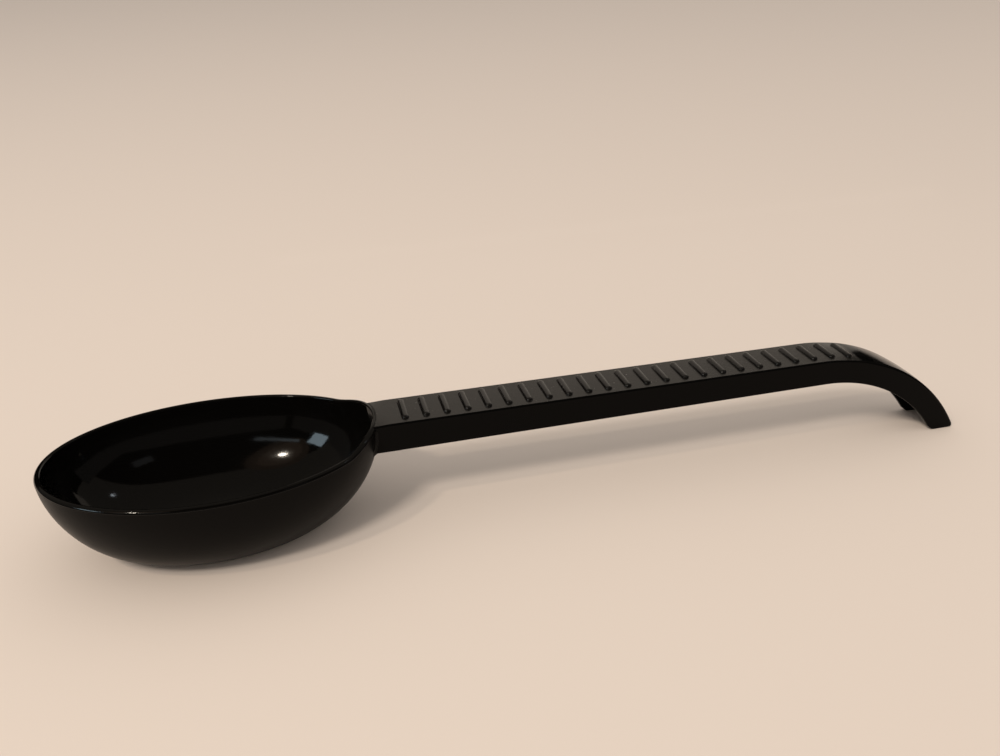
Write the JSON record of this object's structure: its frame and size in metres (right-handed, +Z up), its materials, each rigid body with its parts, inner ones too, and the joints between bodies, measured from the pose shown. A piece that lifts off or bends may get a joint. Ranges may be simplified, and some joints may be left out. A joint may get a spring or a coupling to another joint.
{
  "type": "measuring scoop",
  "caption": "Black plastic scoop with a deep oval bowl, a straight ribbed channel handle and a hooked end that stands on the table or hangs on a rim.",
  "frame": {"origin": "the middle of the bowl's flat base, on the table", "axes": "+X runs from the bowl along the handle to the hook, +Z is up, and +Y is the left side of the handle when looking along +X"},
  "size_m": [0.2492, 0.0578, 0.0274],
  "materials": {
    "bowl_gloss": "glossy black moulded plastic, mirror-like inside the bowl",
    "handle_gloss": "glossy black moulded plastic",
    "grip_satin": "satin black moulded plastic, slightly worn"
  },
  "bodies": {
    "root": {"bowl": "bowl_gloss", "handle_deck": "grip_satin", "handle_wall_left": "handle_gloss", "handle_wall_right": "handle_gloss", "hook_deck": "handle_gloss", "hook_wall_left": "handle_gloss", "hook_wall_right": "handle_gloss", "grip_rib_01": "grip_satin", "grip_rib_02": "grip_satin", "grip_rib_03": "grip_satin", "grip_rib_04": "grip_satin", "grip_rib_05": "grip_satin", "grip_rib_06": "grip_satin", "grip_rib_07": "grip_satin", "grip_rib_08": "grip_satin", "grip_rib_09": "grip_satin", "grip_rib_10": "grip_satin", "grip_rib_11": "grip_satin", "grip_rib_12": "grip_satin", "grip_rib_13": "grip_satin", "grip_rib_14": "grip_satin", "grip_rib_15": "grip_satin", "grip_rib_16": "grip_satin", "grip_rib_17": "grip_satin", "grip_rib_18": "grip_satin", "grip_rib_19": "grip_satin", "grip_rib_20": "grip_satin", "grip_rib_21": "grip_satin", "grip_rib_22": "grip_satin", "grip_rib_23": "grip_satin", "grip_rib_24": "grip_satin"}
  },
  "joints": []
}
